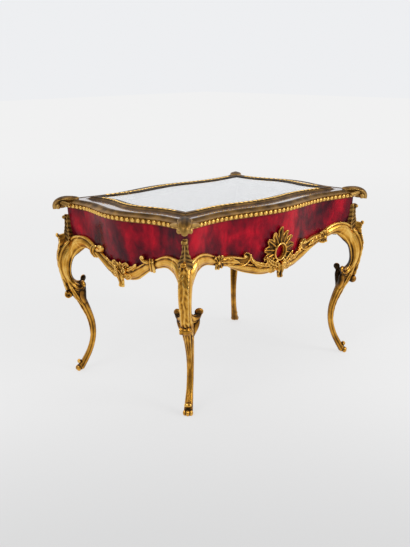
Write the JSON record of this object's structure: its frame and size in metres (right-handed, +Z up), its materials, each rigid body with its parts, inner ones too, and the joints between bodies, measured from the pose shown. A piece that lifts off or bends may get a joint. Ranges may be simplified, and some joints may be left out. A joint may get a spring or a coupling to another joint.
{
  "type": "jewelry vitrine",
  "caption": "Small table-top jewel vitrine: serpentine tortoiseshell case with gilt mounts on scrolled legs, and a hinged glazed lid over a padded tray.",
  "frame": {"origin": "on the floor under the middle of the case", "axes": "+X along the long side, -Y the front with the cartouche, +Z up"},
  "size_m": [0.3732, 0.2652, 0.2505],
  "materials": {
    "tortoiseshell": "polished red tortoiseshell, mottled",
    "case_wood": "dark stained wood",
    "lid_veneer": "polished red-brown veneer",
    "lining_silk": "ivory silk over wadding",
    "gilt_bronze": "gilt bronze, patinated in the hollows",
    "glass": "clear plate glass",
    "hinge_brass": "plain brass",
    "screw_steel": "plain steel"
  },
  "bodies": {
    "case": {"shell_panel_front": "tortoiseshell", "shell_panel_back": "tortoiseshell", "shell_panel_left": "tortoiseshell", "shell_panel_right": "tortoiseshell", "case_rail_front": "case_wood", "case_rail_back": "case_wood", "case_rail_left": "case_wood", "case_rail_right": "case_wood", "corner_block_front_left": "case_wood", "corner_block_front_right": "case_wood", "corner_block_back_left": "case_wood", "corner_block_back_right": "case_wood", "bottom_board": "case_wood", "lining_walls": "lining_silk", "lining_pad": "lining_silk", "apron_front": "gilt_bronze", "apron_back": "gilt_bronze", "apron_left": "gilt_bronze", "apron_right": "gilt_bronze", "cartouche_front": "gilt_bronze", "cartouche_back": "gilt_bronze", "spray_left": "gilt_bronze", "spray_right": "gilt_bronze", "leg_front_left": "gilt_bronze", "leg_front_right": "gilt_bronze", "leg_back_left": "gilt_bronze", "leg_back_right": "gilt_bronze", "leg_screw_front_left": "screw_steel", "leg_screw_front_right": "screw_steel", "leg_screw_back_left": "screw_steel", "leg_screw_back_right": "screw_steel", "chute_front_left": "gilt_bronze", "chute_front_right": "gilt_bronze", "chute_back_left": "gilt_bronze", "chute_back_right": "gilt_bronze", "hinge_left_case_leaf": "hinge_brass", "hinge_left_pin": "hinge_brass", "hinge_right_case_leaf": "hinge_brass", "hinge_right_pin": "hinge_brass"},
    "lid": {"lid_rail_front": "lid_veneer", "lid_rail_back": "lid_veneer", "lid_rail_left": "lid_veneer", "lid_rail_right": "lid_veneer", "edge_moulding_front": "gilt_bronze", "edge_moulding_back": "gilt_bronze", "edge_moulding_left": "gilt_bronze", "edge_moulding_right": "gilt_bronze", "glazing_frame_front": "gilt_bronze", "glazing_frame_back": "gilt_bronze", "glazing_frame_left": "gilt_bronze", "glazing_frame_right": "gilt_bronze", "lid_corner_front_left": "gilt_bronze", "lid_corner_front_right": "gilt_bronze", "lid_corner_back_left": "gilt_bronze", "lid_corner_back_right": "gilt_bronze", "glass_pane": "glass", "hinge_left_lid_leaf": "hinge_brass", "hinge_right_lid_leaf": "hinge_brass"}
  },
  "joints": [
    {"name": "lid_hinge", "type": "hinge", "parent": "case", "child": "lid", "pos_m": [0, 0.1241, 0.233], "axis": [-1, 0, 0], "range_deg": [0, 100]}
  ]
}
